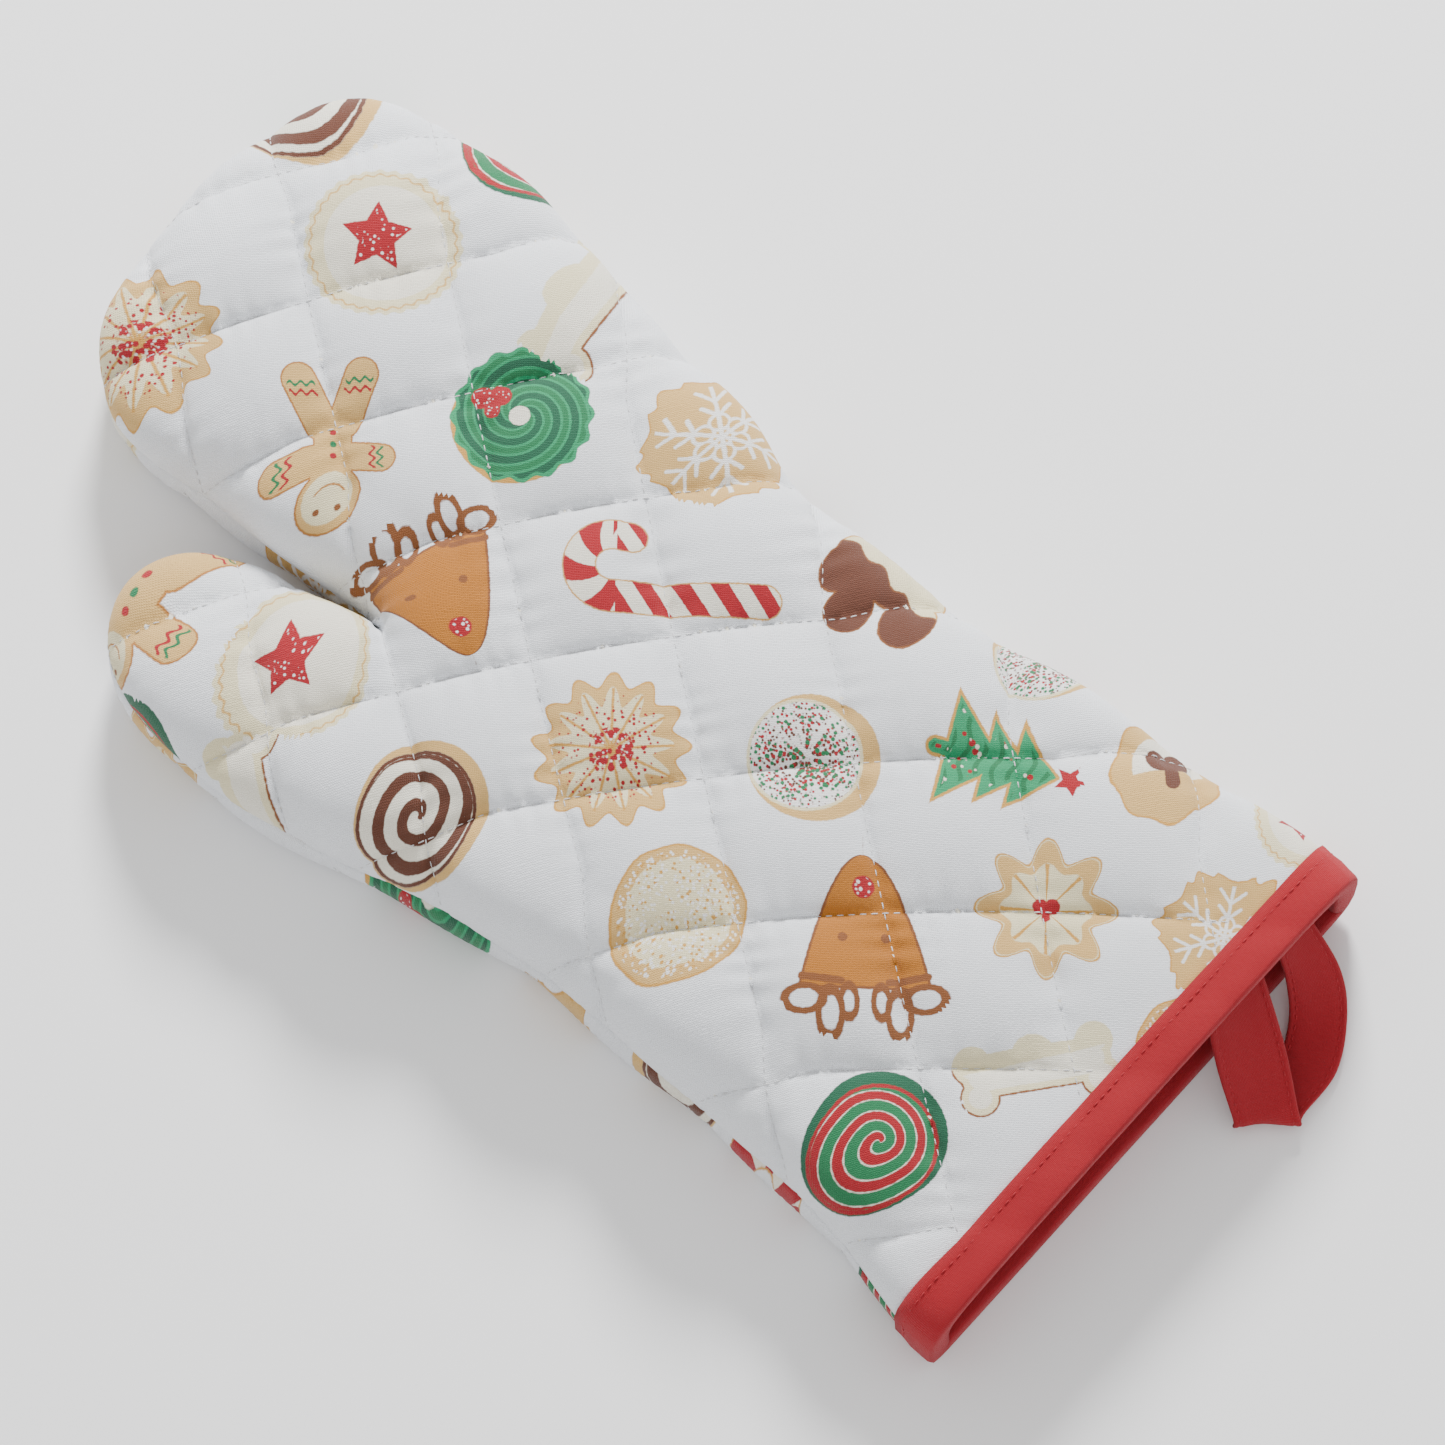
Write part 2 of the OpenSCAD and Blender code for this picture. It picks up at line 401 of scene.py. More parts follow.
def surfaceCoordinates(tree, layer, scale=100):
    node = tree.nodes.new("ShaderNodeUVMap")
    node.uv_map = layer
    parts = tree.nodes.new("ShaderNodeSeparateXYZ")
    tree.links.new(node.outputs[0], parts.inputs[0])
    return Value(tree, parts.outputs[0]) * scale, Value(tree, parts.outputs[1]) * scale, node


def noiseAt(tree, uv, scale, detail=3.0):
    node = tree.nodes.new("ShaderNodeTexNoise")
    node.inputs["Scale"].default_value = scale
    node.inputs["Detail"].default_value = detail
    tree.links.new(uv.outputs[0], node.inputs["Vector"])
    return Value(tree, node.outputs["Fac"])


# Two thread directions, over and under each other, with slubs
def weaveHeight(x, y, pitch, slub):
    warp = ((x + slub * 0.35) * (2 * pi / pitch)).sine()
    weft = ((y + slub * 0.35) * (2 * pi / pitch)).sine()
    return warp * weft * 0.5 + (warp.size() + weft.size()) * 0.35 + slub * 0.9


weave = {"pitch": 0.62, "bump": 0.00016, "roughness": 0.88, "sheen": 0.12}


def clothMaterial(name, picture=None, ground="cloth", pitch=None, turned=0.0, sheen=weave["sheen"]):
    material = bpy.data.materials.new(name)
    material.use_nodes = True
    tree = material.node_tree
    shader = tree.nodes["Principled BSDF"]
    x, y, uv = surfaceCoordinates(tree, "cloth")
    slub = noiseAt(tree, uv, 160, 2)
    broad = noiseAt(tree, uv, 9, 2)
    cx, cy = x * cos(turned) + y * sin(turned), y * cos(turned) - x * sin(turned)
    height = weaveHeight(cx, cy, pitch or weave["pitch"], slub)
    colour = paint[ground]
    if picture:
        px, py, motifUv = surfaceCoordinates(tree, "motif")

        def dots(size):
            node = tree.nodes.new("ShaderNodeTexVoronoi")
            node.inputs["Scale"].default_value = 100 / size
            tree.links.new(motifUv.outputs[0], node.inputs["Vector"])
            return Value(tree, node.outputs["Distance"])

        ragged = (noiseAt(tree, motifUv, 90, 2) - 0.5) * 0.5
        for shape, tone in pictures[picture](px, py, dots):
            colour = mixColour(tree, ink(shape + ragged), colour, paint[tone])
    # painted shade: the colour is darker in the weave's hollows, where its height is low, with random tone
    # from broad noise on top
    scaled = tree.nodes.new("ShaderNodeMix")
    scaled.data_type, scaled.blend_type = "RGBA", "MULTIPLY"
    scaled.inputs["Factor"].default_value = 1.0
    grey = tree.nodes.new("ShaderNodeCombineXYZ")
    shadeAndTone = height * 0.085 + broad * 0.06 + 0.86
    for at in range(3):
        tree.links.new(shadeAndTone.socket, grey.inputs[at])
    inputs = [s for s in scaled.inputs if s.type == "RGBA"]
    if isinstance(colour, tuple):
        inputs[0].default_value = (*colour, 1)
    else:
        tree.links.new(colour, inputs[0])
    tree.links.new(grey.outputs[0], inputs[1])
    tree.links.new(next(s for s in scaled.outputs if s.type == "RGBA"), shader.inputs["Base Color"])
    rough = (height * 0.06 + (weave["roughness"] - 0.05)).maths("ADD", 0, clamp=True)
    tree.links.new(rough.socket, shader.inputs["Roughness"])
    shader.inputs["Sheen Weight"].default_value = sheen
    shader.inputs["Sheen Roughness"].default_value = 0.5
    bump = tree.nodes.new("ShaderNodeBump")
    bump.inputs["Distance"].default_value = weave["bump"]
    bump.inputs["Strength"].default_value = 1.0
    tree.links.new(height.socket, bump.inputs["Height"])
    tree.links.new(bump.outputs[0], shader.inputs["Normal"])
    return material


# The mitt's outline as it lies, from the cuff round the fingers and the thumb, in mm
outline = [(76, 0), (76.5, 8), (76, 16), (73.5, 28), (69, 62), (63.8, 100), (60, 133), (60, 150),
           (61, 170), (65, 188), (69, 221), (73, 243), (74.5, 265), (74.4, 285), (73.5, 298),
           (69, 310), (61, 319), (48, 325.5), (32, 329), (18, 330), (3, 329), (-10, 326.5),
           (-20, 323), (-28, 317), (-34, 309), (-36.8, 300), (-37, 288), (-35.5, 275),
           (-34.8, 258), (-33.6, 240), (-32.6, 226), (-34.4, 218.5), (-37.2, 226), (-39.6, 240),
           (-42, 252), (-46, 261), (-52.5, 268.5), (-62, 273), (-71, 272.5), (-79.5, 267.5),
           (-85.6, 258.5), (-88.8, 246), (-89.6, 232), (-89.2, 219), (-86.4, 203), (-82.5, 185),
           (-78.2, 172), (-74, 151), (-71.3, 128), (-71.3, 98), (-71.3, 66), (-72, 48),
           (-74.5, 31), (-78.6, 14), (-80, 6), (-80, 0)]

panel = {"spacing": 2.5, "edgeReach": 20.0, "seamZ": 16.0, "crown": 26.5, "crownReach": 24.0,
         "baseReach": 11.0, "bulge": 1.5, "puff": 5.0, "puffDrop": 2.8, "pucker": 0.6,
         "wall": 5.2, "stitched": 2.3,
         "shell": 0.6, "lining": 0.6, "gap": 0.1}
cuffRows = (0.0, 2.6, 5.2, 7.8, 10.4)


def smoothLine(points, spacing):
    # Catmull-Rom through the points, then even steps
    pts = [np.array(p, float) for p in points]
    ends = [2 * pts[0] - pts[1], *pts, 2 * pts[-1] - pts[-2]]
    fine = []
    for a, b, c, d in zip(ends, ends[1:], ends[2:], ends[3:]):
        for t in np.linspace(0, 1, 24, endpoint=False):
            fine.append(0.5 * (2 * b + (c - a) * t + (2 * a - 5 * b + 4 * c - d) * t * t
                               + (3 * b - a - 3 * c + d) * t ** 3))
    fine = np.array(fine + [pts[-1]])
    run = np.concatenate([[0], np.cumsum(np.linalg.norm(np.diff(fine, axis=0), axis=1))])
    count = int(round(run[-1] / spacing)) + 1
    at = np.linspace(0, run[-1], count)
    return np.stack([np.interp(at, run, fine[:, k]) for k in range(fine.shape[1])], axis=1)


backShift = (9, -12)                    # how far the back panel's rows are moved from the front's


# Quilting rows: which row a place is on, with a gentle bow as the panel curves
def quiltRows(x, y):
    x, y = x / 100, y / 100
    steep = 2.05 * x - 1.6 * y + 6.45 - 0.26 * x * x + 0.12 * x * y - 0.025 * y * y
    shallow = -2.0 * x - 1.57 * y + 8.11 - 0.03 * x * x + 0.17 * x * y - 0.17 * y * y
    return steep, shallow


def nearestOn(points, line):
    a, b = line[:-1], line[1:]
    best = np.full(len(points), 1e9)
    foot = np.zeros_like(points)
    for p, q in zip(a, b):
        d = q - p
        t = np.clip(((points - p) @ d) / (d @ d), 0, 1)
        near = p + t[:, None] * d
        away = np.linalg.norm(points - near, axis=1)
        closer = away < best
        best[closer], foot[closer] = away[closer], near[closer]
    return best, foot


# Flat pattern of one panel as triangles, with vertices on the quilting rows
def flatPattern():
    edge = smoothLine(outline, panel["spacing"])
    edge[0, 1] = edge[-1, 1] = 0
    across = np.linspace(edge[-1, 0], edge[0, 0], 62)[1:-1]
    cuffEdge = np.stack([across, np.zeros_like(across)], axis=1)
    rim = np.concatenate([edge, cuffEdge])
    rows = []
    for y in cuffRows[1:]:
        right = np.interp(y, [0, 8, 16], [76, 76.5, 76])
        left = np.interp(y, [0, 6, 14], [-80, -80, -78.6])
        t = np.linspace(0, 1, 62)[1:-1]
        rows += [(left + (right - left) * k, y) for k in t]
    step = panel["spacing"]
    grid = [(x + (row % 2) * step / 2, y)
            for row, y in enumerate(np.arange(cuffRows[-1] + 2.2, 330, step * 0.866))
            for x in np.arange(-92, 78, step)]
    grid = np.array(grid)
    for which in (0, 1):
        rowNumber = quiltRows(grid[:, 0], grid[:, 1])[which]
        h = 0.05
        gx = (quiltRows(grid[:, 0] + h, grid[:, 1])[which] - rowNumber) / h
        gy = (quiltRows(grid[:, 0], grid[:, 1] + h)[which] - rowNumber) / h
        off = rowNumber - np.round(rowNumber)
        size2 = gx * gx + gy * gy
        move = np.stack([-off * gx / size2, -off * gy / size2], axis=1)
        close = np.linalg.norm(move, axis=1) < step * 0.42
        grid[close] += move[close]
    away, _ = nearestOn(grid, np.concatenate([edge, edge[:1]]))
    grid = grid[away > step * 0.55]
    points = [Vector(p) for p in [*rim.tolist(), *rows, *grid.tolist()]]
    loop = list(range(len(edge))) + list(range(len(edge), len(rim)))
    edges = [(loop[i], loop[(i + 1) % len(loop)]) for i in range(len(loop))]
    flat, _, faces, *_ = geometry.delaunay_2d_cdt(points, edges, [], 1, 1e-4)
    flat = np.array([tuple(p) for p in flat])
    faces = np.array([f for f in faces if len(f) == 3])
    used = np.unique(faces)
    order = np.zeros(len(flat), int)
    order[used] = np.arange(len(used))
    return flat[used], order[faces], edge


# Each triangle becomes four; the first vertices stay the first
def halved(points, faces):
    sides = np.sort(np.concatenate([faces[:, [0, 1]], faces[:, [1, 2]], faces[:, [2, 0]]]), axis=1)
    unique, back = np.unique(sides, axis=0, return_inverse=True)
    back = back.reshape(-1)
    middle = (points[unique[:, 0]] + points[unique[:, 1]]) / 2
    n, f = len(points), len(faces)
    ab, bc, ca = n + back[:f], n + back[f:2 * f], n + back[2 * f:]
    a, b, c = faces.T
    more = np.concatenate([np.stack(t, axis=1) for t in
                           ((a, ab, ca), (ab, b, bc), (ca, bc, c), (ab, bc, ca))])
    return np.concatenate([points, middle]), more


def borderOf(faces):
    sides = np.concatenate([faces[:, [0, 1]], faces[:, [1, 2]], faces[:, [2, 0]]])
    keys = np.sort(sides, axis=1)
    _, first, count = np.unique(keys, axis=0, return_index=True, return_counts=True)
    return sides[first[count == 1]]


# Height of a soap film over the outline: the even pillow shape that a filled outline takes
def filmHeight(points, faces, fixed):
    p = points[faces]
    e = np.stack([p[:, 2] - p[:, 1], p[:, 0] - p[:, 2], p[:, 1] - p[:, 0]], axis=1)
    area = np.abs(np.cross(e[:, 0], e[:, 1])) / 2 + 1e-9
    load = np.bincount(faces.ravel(), np.repeat(area / 3, 3), len(points))
    rows, cols, vals = [], [], []
    for i in range(3):
        for j in range(3):
            rows.append(faces[:, i])
            cols.append(faces[:, j])
            vals.append((e[:, i] * e[:, j]).sum(1) / (4 * area))
    rows, cols, vals = map(np.concatenate, (rows, cols, vals))

    def stiff(u):
        out = np.bincount(rows, vals * u[cols], len(points))
        out[fixed] = 0
        return out

    scale = np.bincount(rows[rows == cols], vals[rows == cols], len(points))
    u = np.zeros(len(points))
    left = np.where(fixed, 0, load)
    z = left / scale
    d = z.copy()
    rz = left @ z
    for _ in range(1500):
        sd = stiff(d)
        step = rz / (d @ sd)
        u += step * d
        left -= step * sd
        z = left / scale
        new = left @ z
        if new < 1e-12 * (load @ load):
            break
        d = z + d * (new / rz)
        rz = new
    return np.maximum(u, 0)


def vertexNormals(points, faces):
    a, b, c = points[faces[:, 0]], points[faces[:, 1]], points[faces[:, 2]]
    n = np.cross(b - a, c - a)
    out = np.stack([np.bincount(faces.ravel(), np.repeat(n[:, k], 3), len(points))
                    for k in range(3)], axis=1)
    return out / (np.linalg.norm(out, axis=1, keepdims=True) + 1e-12)


print("helpers ready")


class Panel:
    # The flat pattern laid on the pillow shape; side is 1 for the front, -1 for the back
    def __init__(self):
        flat, faces, self.edge = flatPattern()
        self.coarseCount, self.coarseFaces = len(flat), faces
        self.flat, self.faces = halved(flat, faces)
        away, foot = nearestOn(self.flat, self.edge)
        reach = panel["edgeReach"]
        near = np.minimum(away, reach)
        pulled = reach * (1 - np.cos(pi * near / (2 * reach)))
        outward = (foot - self.flat) / (away[:, None] + 1e-9)
        stretch = (near - pulled) * (away < reach)
        self.plan = self.flat + outward * stretch[:, None]
        border = borderOf(self.faces)
        onCuff = (self.flat[border][:, :, 1] < 1e-6).all(axis=1)
        self.seamEdges = border[~onCuff]
        fixed = np.zeros(len(self.flat), bool)
        fixed[self.seamEdges.ravel()] = True
        self.fixed = fixed
        u = filmHeight(self.plan, self.faces, fixed)
        self.r = np.sqrt(2 * u)
        grad = self.slopes(u)
        grad[fixed] = 0
        steepness = np.linalg.norm(grad, axis=1, keepdims=True) + 1e-9
        self.out = np.where(fixed[:, None], 0, -grad / steepness)
        lean = np.zeros_like(self.plan)
        d = self.plan[self.seamEdges[:, 1]] - self.plan[self.seamEdges[:, 0]]
        side = np.stack([d[:, 1], -d[:, 0]], axis=1)
        for k in (0, 1):
            np.add.at(lean, self.seamEdges[:, k], side)
        lean /= np.linalg.norm(lean, axis=1, keepdims=True) + 1e-9
        self.out[fixed] = lean[fixed]

    def slopes(self, u):
        p, f = self.plan[self.faces], self.faces
        e = np.stack([p[:, 2] - p[:, 1], p[:, 0] - p[:, 2], p[:, 1] - p[:, 0]], axis=1)
        area2 = np.cross(e[:, 0], e[:, 1])[:, None] + 1e-9
        turn = np.stack([-e[:, :, 1], e[:, :, 0]], axis=2)
        g = (turn * u[f][:, :, None]).sum(1) / area2
        out = np.stack([np.bincount(f.ravel(), np.repeat(g[:, k], 3), len(u)) for k in (0, 1)], axis=1)
        return out / (np.bincount(f.ravel(), minlength=len(u))[:, None] + 1e-9)

    def base(self, side):
        r, y = self.r, self.plan[:, 1]
        bulge = panel["bulge"] * (r / 7) * np.exp(1 - r / 7) * smoothStep(0, 70, y)
        if side > 0:
            cuff = 0.60 + 0.40 * smoothStep(-30, 120, y)
            rise = panel["crown"] * (1 - np.exp(-r / panel["crownReach"])) * cuff
        else:
            base = panel["seamZ"] - 0.6 - 1.6 * (1 - smoothStep(0, 26, y))
            rise = base * np.tanh(r / panel["baseReach"])
        place = np.concatenate([self.plan + self.out * bulge[:, None],
                                (panel["seamZ"] + side * rise)[:, None]], axis=1)
        faces = self.faces if side > 0 else self.faces[:, ::-1]
        normal = vertexNormals(place, faces)
        flatOut = np.concatenate([self.out, np.zeros((len(self.out), 1))], axis=1)
        mixed = np.where(self.fixed[:, None], flatOut, normal)
        return place, mixed / np.linalg.norm(mixed, axis=1, keepdims=True)

    # How far the padding lifts the cloth between rows, with small gathers beside the stitches
    def padding(self, side):
        x, y = self.flat.T
        steep, shallow = quiltRows(x, y) if side > 0 else quiltRows(x + backShift[0], y + backShift[1])
        a, b = np.abs(np.sin(pi * steep)), np.abs(np.sin(pi * shallow))
        pocket = (a ** 0.55) * (b ** 0.55)
        edge = 1 - np.exp(-(self.r / 9) ** 2)
        cuff = smoothStep(5, 34, y)
        gather = np.zeros(len(x))
        for own, other, k in ((steep, shallow, 1.0), (shallow, steep, 2.3)):
            offRow = np.abs(own - np.round(own)) * 36
            wander = np.sin(other * 3.1 + np.round(own) * 1.7 + k) \
                + np.sin(other * 7.3 + np.round(own) * 0.9)
            wave = np.sin(2 * pi * other * 5.2 + 1.6 * wander + k * np.round(own))
            gather += wave * np.exp(-(offRow / 4.6)) * (0.55 + 0.45 * np.sin(other * 4.4 + k)) \
                * np.minimum(1, offRow / 1.2)
        slack = 0.5 * np.sin(x / 13 + 1.3) * np.sin(y / 17) + 0.35 * np.sin(x / 7 + y / 11)
        lift = panel["puff"] * pocket - panel["puffDrop"] + panel["pucker"] * gather + 0.35 * slack
        return lift * edge * (0.25 + 0.75 * cuff), pocket


print("cutting and filling the panels")
cloth = Panel()


def buildSide(side):
    place, normal = cloth.base(side)
    lift, pocket = cloth.padding(side)
    squeeze = 1.0 if side > 0 else np.clip((place[:, 2] - 0.6) / 9, 0.12, 1)
    outer = place + normal * (lift * squeeze)[:, None]
    if side < 0:
        outer[:, 2] = np.maximum(outer[:, 2], 0.35)
    outer[cloth.fixed] = place[cloth.fixed]
    inward = panel["wall"] - 2.0 * (1 - pocket) * smoothStep(8, 20, cloth.r)
    inward = np.maximum(inward, panel["stitched"] - lift * squeeze)
    inner = place - normal * inward[:, None]
    return outer, inner, normal


sides = {1: buildSide(1), -1: buildSide(-1)}


# A closed layer between two coats of the same pattern
def layerPiece(name, top, bottom, side, material, fine):
    faces = cloth.faces if fine else cloth.coarseFaces
    count = len(cloth.flat) if fine else cloth.coarseCount
    top, bottom = top[:count], bottom[:count]
    turned = faces if side > 0 else faces[:, ::-1]
    border = borderOf(turned)
    n = count
    wall = [(b, a, n + a, n + b) for a, b in border]
    allFaces = [tuple(f) for f in turned] + [tuple(n + f[::-1]) for f in turned] + wall
    piece = meshPiece(name, np.concatenate([top, bottom]), allFaces, material)
    addClothMap(piece, np.concatenate([cloth.flat[:count]] * 2) * (1, side))
    return piece


def addClothMap(piece, flat):
    uv = piece.data.uv_layers.new(name="cloth")
    corners = np.zeros(len(piece.data.loops), np.int32)
    piece.data.loops.foreach_get("vertex_index", corners)
    uv.data.foreach_set("uv", (flat[corners] / 100).astype(np.float32).ravel())
    return corners


# Pictures on the front: (picture, x, y, turn in degrees, size), x and y in mm on the panel
frontPrint = [("chocolateSwirl", 52, 322, 20, 1.1), ("starCookie", 37, 282, -40, 1.05),
              ("redGreenSwirl", 77, 276, 0, 1.1), ("sprinkleDaisy", -18, 309, 0, 1.0),
              ("gingerbread", -9, 257, 134, 0.88), ("boneCookie", 59, 235, 20, 1.15),
              ("wreath", 26, 226, -48, 1.0), ("snowflake", 51, 187, -30, 1.0),
              ("deer", -19, 211, -27, 0.95), ("candyCane", 18, 170, 40, 1.0),
              ("dippedCookie", 50, 132, -75, 1.0), ("sprinkleDaisy", -24, 152, 12, 1.1),
              ("nonpareils", 6, 116, -48, 1.0), ("starCookie", -58, 225, -30, 0.98),
              ("gingerbread", -66, 264, 100, 0.95), ("redGreenSwirl", -96, 246, 30, 0.9),
              ("chocolateSwirl", -64, 178, 10, 1.0), ("deer", -19, 75, 132, 1.05),
              ("sugarRound", -43, 113, 0, 1.0), ("treeCookie", 37, 80, -153, 0.98),
              ("flowerCookie", 17, 48, -50, 1.12), ("thumbprint", 62, 50, -40, 1.0),
              ("nonpareils", 61, 91, 20, 0.8), ("snowflake", 41, 12, -60, 0.95),
              ("boneCookie", -15, 23, -35, 1.0), ("redGreenSwirl", -53, 40, 60, 1.05),
              ("starCookie", 74, 17, 0, 0.7), ("boneCookie", -84, 211, 60, 0.9),
              ("sugarRound", 14, 0, 0, 0.8)]
backPrint = [(frontPrint[(7 * row + 3 * column + 2) % 24][0], -78 + 46 * column + 23 * (row % 2),
              12 + 38 * row, (67 * row + 131 * column) % 360, 1.0)
             for row in range(9) for column in range(4)]

prints = {"": clothMaterial("printedCotton")}
prints.update({name: clothMaterial("print." + name, name) for name in pictures})


def putPrint(piece, layout, flat, corners):
    uv = piece.data.uv_layers.new(name="motif")
    faces = len(piece.data.polygons)
    start = np.zeros(faces, np.int32)
    piece.data.polygons.foreach_get("loop_start", start)
    at = flat[corners]
    middle = at[start]
    slot = np.zeros(faces, np.int32)
    best = np.full(faces, 1.0)
    local = at.copy()
    total = np.zeros(faces, np.int32)
    piece.data.polygons.foreach_get("loop_total", total)
    owner = np.repeat(np.arange(faces), total)
    names = list(prints)
    for name in names:
        piece.data.materials.append(prints[name])
    for picture, cx, cy, turn, size in layout:
        a = radians(turn)
        d = at - (cx, cy)
        px = (d[:, 0] * cos(a) + d[:, 1] * sin(a)) / size
        py = (d[:, 1] * cos(a) - d[:, 0] * sin(a)) / size
        reach = 32 if picture in ("gingerbread", "candyCane") else 24
        away = np.hypot(*(middle - (cx, cy)).T) / (reach * size)
        take = away < best
        best[take] = away[take]
        slot[take] = names.index(picture)
        mine = take[owner]
        local[mine, 0], local[mine, 1] = px[mine], py[mine]
    uv.data.foreach_set("uv", (local / 100).astype(np.float32).ravel())
    piece.data.polygons.foreach_set("material_index", slot)


def cornersOf(piece):
    corners = np.zeros(len(piece.data.loops), np.int32)
    piece.data.loops.foreach_get("vertex_index", corners)
    return corners


batting = clothMaterial("cottonBatting", ground="icing", pitch=2.2)
liningCloth = clothMaterial("liningCloth", ground="white", pitch=0.8)

for side, name in ((1, "front"), (-1, "back")):
    outer, inner, normal = sides[side]
    shellIn = outer - normal * panel["shell"]
    shell = layerPiece(name + "Shell", outer, shellIn, side, None, True)
    layout = frontPrint if side > 0 else backPrint
    putPrint(shell, layout, np.concatenate([cloth.flat] * 2), cornersOf(shell))
    pad = layerPiece(name + "Batting", outer - normal * (panel["shell"] + panel["gap"]),
                     inner + normal * (panel["lining"] + panel["gap"]), side, batting, False)
    lining = layerPiece(name + "Lining", inner + normal * panel["lining"], inner, side,
                        liningCloth, False)
    for piece, node in ((shell, "_shell"), (pad, "_batting"), (lining, "_lining")):
        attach(piece, "mitt")
        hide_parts(name + node)
print("panels made")


# The cuff's coats by row, as points from left to right; the seam ends are filled in from the rim
def cuffLine(side, y):
    outer, inner, normal = (part[:cloth.coarseCount] for part in sides[side])
    flat, fixed = cloth.flat[:cloth.coarseCount], cloth.fixed[:cloth.coarseCount]
    onRow = (np.abs(flat[:, 1] - y) < 1e-3) & ~fixed
    pick = np.flatnonzero(onRow)
    pick = pick[np.argsort(flat[pick, 0])][:60]
    ends = []
    for hand in (-1, 1):
        rim = np.flatnonzero(fixed & (flat[:, 0] * hand > 60) & (flat[:, 1] < 20))
        rim = rim[np.argsort(flat[rim, 1])]
        ends.append([np.array([np.interp(y, flat[rim, 1], part[rim, k]) for k in range(3)])
                     for part in (outer, inner, normal)])
    return [np.concatenate([ends[0][k][None], part[pick], ends[1][k][None]])
            for k, part in enumerate((outer, inner, normal))]


tape = {"gap": 0.2, "thick": 1.0, "groove": 0.3, "rows": cuffRows[::-1], "stitchRow": 7.8,
        "over": 1.2, "pucker": 0.14}


def cuffRing(y):
    front, back = cuffLine(1, y), cuffLine(-1, y)
    return [np.concatenate([f, b[-2:0:-1]]) for f, b in zip(front, back)]


def bindingSection():
    rings = {y: cuffRing(y) for y in tape["rows"]}
    stations = len(rings[0.0][0])
    run = np.arange(stations)
    cover, under = [], []
    for face in (0, 1):
        facing = 1 - 2 * face
        rows = tape["rows"] if face == 0 else tape["rows"][::-1]
        for y in rows:
            place, normal = rings[y][face].copy(), rings[y][2] * facing
            ripple = tape["pucker"] * np.sin(run * 0.9 + y * 0.7 + np.sin(run * 0.37)) * (y > 5)
            rise = tape["gap"] + tape["thick"] - (tape["groove"] if y == tape["stitchRow"] else 0)
            cover.append(place + normal * (rise + ripple)[:, None])
            under.append(place + normal * tape["gap"])
        if face == 0:
            outer, inner = rings[0.0][0], rings[0.0][1]
            inwards = np.array([0, 1.0, 0])
            for share, drop in ((0.0, 0.75), (0.22, 1.0), (0.5, 1.05), (0.78, 1.0), (1.0, 0.75)):
                middle = outer * (1 - share) + inner * share
                lean = rings[0.0][2] * (1 - 2 * share)
                edge = 0.85 if share in (0.0, 1.0) else 0.3
                cover.append(middle + lean * edge - inwards * tape["over"] * drop)
                under.append(middle + lean * 0.2 - inwards * 0.15)
    return cover, under


def sweptRing(name, cover, under, material):
    section = cover + under[::-1]
    count, stations = len(section), len(section[0])
    points = np.stack(section, axis=1).reshape(-1, 3)
    faces = [(s * count + k, s * count + (k + 1) % count,
              ((s + 1) % stations) * count + (k + 1) % count, ((s + 1) % stations) * count + k)
             for s in range(stations) for k in range(count)]
    piece = meshPiece(name, points, faces, material)
    rim = np.stack(cover, axis=1)
    ahead = np.linalg.norm(np.roll(rim, -1, axis=0) - rim, axis=2).mean(axis=1)
    beside = np.linalg.norm(np.diff(rim, axis=1), axis=2).mean(axis=0)
    along, across = (np.concatenate([[0], np.cumsum(part)]) for part in (ahead, beside))
    across = np.concatenate([across, across[::-1]])
    uv = piece.data.uv_layers.new(name="cloth")
    corner = [(along[s + ds], across[(k + dk) % count])
              for s in range(stations) for k in range(count)
              for ds, dk in ((0, 0), (0, 1), (1, 1), (1, 0))]
    uv.data.foreach_set("uv", (np.array(corner) / 100).astype(np.float32).ravel())
    return piece


# One short stitch after another: each a little pill that dips into the cloth at both ends
def stitchPiece(name, runs, radius, material):
    spots, faces = [], []
    rings = ((0.0, 0.35, -1.6), (0.18, 0.9, -0.35), (0.5, 1.0, 0.0), (0.82, 0.9, -0.35),
             (1.0, 0.35, -1.6))
    corners = 6
    for a, b, up in runs:
        way = b - a
        side = np.cross(way, up)
        side /= np.linalg.norm(side) + 1e-9
        up = np.cross(side, way)
        up /= np.linalg.norm(up) + 1e-9
        first = len(spots)
        for share, size, dip in rings:
            middle = a + way * share + up * dip * radius
            for k in range(corners):
                t = 2 * pi * k / corners
                spots.append(middle + (side * cos(t) + up * sin(t)) * radius * size)
        for r in range(len(rings) - 1):
            for k in range(corners):
                n = (k + 1) % corners
                faces.append((first + r * corners + k, first + r * corners + n,
                              first + (r + 1) * corners + n, first + (r + 1) * corners + k))
        faces.append(tuple(first + k for k in range(corners - 1, -1, -1)))
        faces.append(tuple(first + (len(rings) - 1) * corners + k for k in range(corners)))
    return meshPiece(name, np.array(spots), faces, material)


def threadMaterial(name, tone):
    material = bpy.data.materials.new(name)
    material.use_nodes = True
    tree = material.node_tree
    shader = tree.nodes["Principled BSDF"]
    coordinates = tree.nodes.new("ShaderNodeTexCoord")
    wave = tree.nodes.new("ShaderNodeTexWave")
    wave.inputs["Scale"].default_value = 900
    wave.inputs["Distortion"].default_value = 1.5
    tree.links.new(coordinates.outputs["Object"], wave.inputs["Vector"])
    twist = Value(tree, wave.outputs["Fac"])
    # painted shade: the thread's colour is darker in the twist's grooves, where the same wave sinks the
    # bump
    colour = mixColour(tree, twist, tuple(0.72 * c for c in tone), tone)
    tree.links.new(colour, shader.inputs["Base Color"])
    shader.inputs["Roughness"].default_value = 0.6
    bump = tree.nodes.new("ShaderNodeBump")
    bump.inputs["Distance"].default_value = 0.00006
    tree.links.new(twist.socket, bump.inputs["Height"])
    tree.links.new(bump.outputs[0], shader.inputs["Normal"])
    return material


